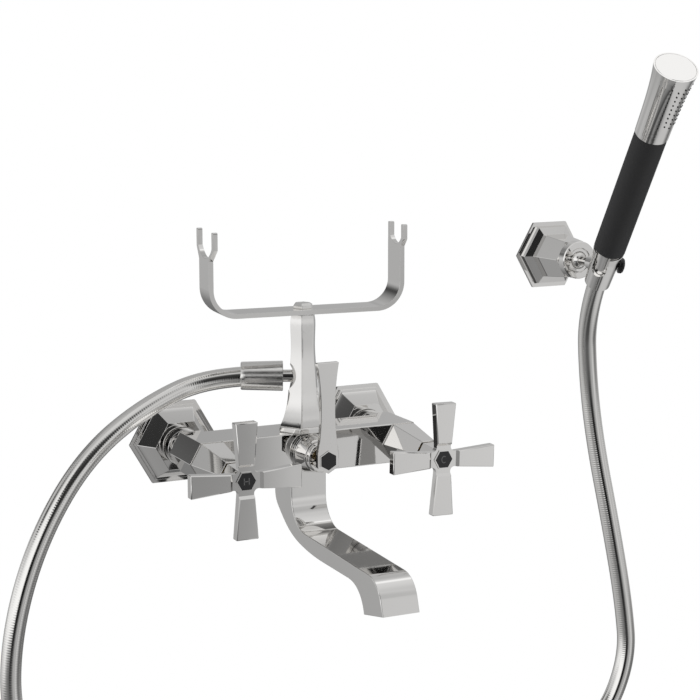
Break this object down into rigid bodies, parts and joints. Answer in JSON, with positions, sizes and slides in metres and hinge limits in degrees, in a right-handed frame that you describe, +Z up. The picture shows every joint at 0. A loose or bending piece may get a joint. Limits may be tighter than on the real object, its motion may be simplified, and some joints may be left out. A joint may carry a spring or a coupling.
{
  "type": "wall-mounted bath mixer with handset",
  "caption": "Wall-mounted bath mixer with six-sided arms, cross handles, lever diverter, fixed spout, cradle on a pillar, metal hose and a handset in a separate bracket.",
  "frame": {"origin": "on the wall plane, midway between the axes of the two inlets", "axes": "+X to the right along the wall, +Y into the wall, +Z up"},
  "size_m": [0.6212, 0.298, 0.6983],
  "materials": {
    "chrome": "polished",
    "hose_metal": "brushed",
    "steel": "brushed",
    "brass": "satin",
    "black_gloss": "gloss",
    "black_matt": "matt",
    "white_plastic": "satin",
    "rubber": "matt"
  },
  "bodies": {
    "mixer": {"hot_wall_flange": "chrome", "hot_inlet_tail": "chrome", "hot_union_nut": "chrome", "hot_valve_cartridge": "brass", "cold_wall_flange": "chrome", "cold_inlet_tail": "chrome", "cold_union_nut": "chrome", "cold_valve_cartridge": "brass", "inlet_washers": "rubber", "mixer_body": "chrome", "diverter_sleeve": "brass", "diverter_bonnet": "chrome", "spout": "chrome", "spout_nipple": "brass", "aerator_housing": "chrome", "aerator_insert": "white_plastic", "pillar_plinth": "chrome", "pillar": "chrome", "outlet_nipple": "chrome", "check_valve": "white_plastic", "hose_washer": "rubber", "mixer_ferrule": "hose_metal", "cradle_washer": "white_plastic", "cradle_bolt": "chrome", "bracket_flange": "chrome", "bracket_backplate": "brass", "bracket_screws": "steel", "bracket_grub_screw": "steel", "socket_ring": "chrome", "tilt_pin": "steel", "ball_seat": "white_plastic", "hose": "hose_metal"},
    "hot_handle": {"hot_spindle": "brass", "hot_handle_skirt": "chrome", "hot_cross_handle": "chrome", "hot_handle_screw": "steel", "hot_index": "black_gloss"},
    "cold_handle": {"cold_spindle": "brass", "cold_handle_skirt": "chrome", "cold_cross_handle": "chrome", "cold_handle_screw": "steel", "cold_index": "black_gloss"},
    "diverter": {"diverter_rotor": "brass", "diverter_spindle": "brass", "diverter_lever": "chrome", "diverter_screw": "steel", "diverter_index": "black_gloss"},
    "cradle": {"handset_cradle": "chrome"},
    "holder": {"ball_stud": "chrome", "holder_cup": "chrome"},
    "knob": {"clamp_knob": "black_gloss"},
    "handset": {"hose_nut": "chrome", "handset_core": "brass", "handset_grip": "black_matt", "head_shell": "chrome", "head_cap": "chrome", "nozzle_mat": "rubber", "hose_tail": "brass"}
  },
  "joints": [
    {"name": "hot_handle_turn", "type": "hinge", "parent": "mixer", "child": "hot_handle", "pos_m": [-0.09, -0.15, 0], "axis": [0, 1, 0], "range_deg": [-90, 0]},
    {"name": "cold_handle_turn", "type": "hinge", "parent": "mixer", "child": "cold_handle", "pos_m": [0.09, -0.15, 0], "axis": [0, 1, 0], "range_deg": [0, 90]},
    {"name": "diverter_turn", "type": "hinge", "parent": "mixer", "child": "diverter", "pos_m": [0, -0.1, 0], "axis": [0, 1, 0], "range_deg": [-45, 45]},
    {"name": "cradle_swivel", "type": "hinge", "parent": "mixer", "child": "cradle", "pos_m": [0, -0.0805, 0.12], "axis": [0, 0, 1], "range_deg": [-40, 40]},
    {"name": "holder_tilt", "type": "hinge", "parent": "mixer", "child": "holder", "pos_m": [0.2938, -0.0515, 0.146], "axis": [1, 0, 0], "range_deg": [-20, 20], "deforming": ["hose"]},
    {"name": "clamp_knob_turn", "type": "hinge", "parent": "holder", "child": "knob", "pos_m": [0.29346, -0.09783, 0.14835], "axis": [0.9009, -0.3963, -0.1774], "range_deg": [-180, 180]},
    {"name": "handset_lift", "type": "slide", "parent": "holder", "child": "handset", "axis": [-0.1139, -0.6099, 0.7843], "range_m": [0, 0.026], "deforming": ["hose"]}
  ]
}
